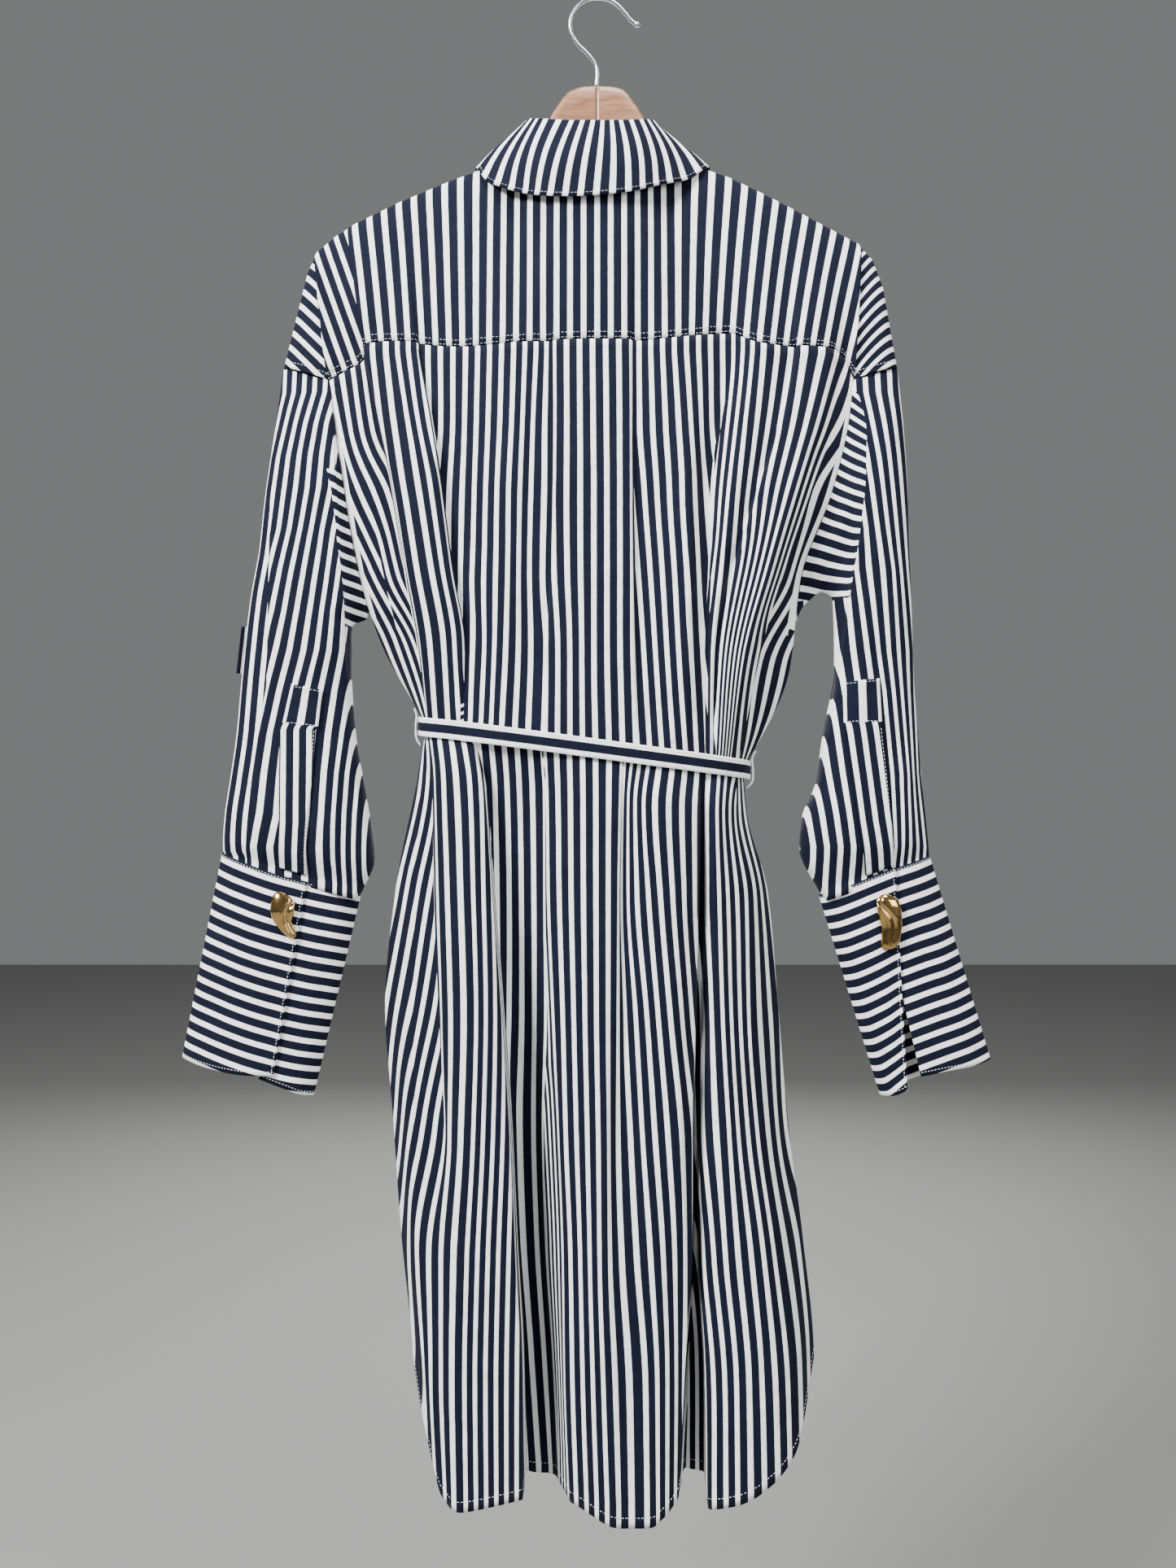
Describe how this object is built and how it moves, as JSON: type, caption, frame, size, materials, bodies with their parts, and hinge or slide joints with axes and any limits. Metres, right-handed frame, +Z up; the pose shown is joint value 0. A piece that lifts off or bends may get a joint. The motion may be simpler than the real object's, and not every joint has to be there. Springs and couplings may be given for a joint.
{
  "type": "shirt dress on a hanger",
  "caption": "Striped cotton shirt dress with a box pleat below the back yoke, deep buttoned cuffs, a narrow tied belt and a curved hem, hung on a wooden clothes hanger.",
  "frame": {"origin": "inside top of the hanger's hook, where it rests on a rail", "axes": "+Z up, +X to the right seen from the back of the dress, the back of the dress faces -Y and its button front +Y"},
  "size_m": [0.6549, 0.118, 1.208],
  "materials": {
    "striped_cotton": "matt cotton poplin with narrow navy and white stripes",
    "thread": "matt twisted thread",
    "gilt_button": "polished gilt",
    "shirt_button": "smooth, pearly",
    "hanger_wood": "satin varnish",
    "hook_wire": "polished wire"
  },
  "bodies": {
    "root": {"back_yoke": "striped_cotton", "back_panel": "striped_cotton", "front_left": "striped_cotton", "front_right": "striped_cotton", "front_band": "striped_cotton", "collar_stand": "striped_cotton", "collar_fall": "striped_cotton", "sleeve_left": "striped_cotton", "sleeve_right": "striped_cotton", "placket_left": "striped_cotton", "placket_right": "striped_cotton", "cuff_left": "striped_cotton", "cuff_right": "striped_cotton", "belt": "striped_cotton", "belt_knot": "striped_cotton", "belt_end_left": "striped_cotton", "belt_end_right": "striped_cotton", "sleeve_tab_left": "striped_cotton", "belt_loop_left": "thread", "belt_loop_right": "thread", "cuff_button_left": "gilt_button", "cuff_button_right": "gilt_button", "front_button_1": "shirt_button", "front_button_2": "shirt_button", "front_button_3": "shirt_button", "front_button_4": "shirt_button", "front_button_5": "shirt_button", "front_button_6": "shirt_button", "front_button_7": "shirt_button", "front_button_8": "shirt_button", "hanger_left": "hanger_wood", "hanger_right": "hanger_wood", "hanger_hook": "hook_wire"}
  },
  "joints": []
}
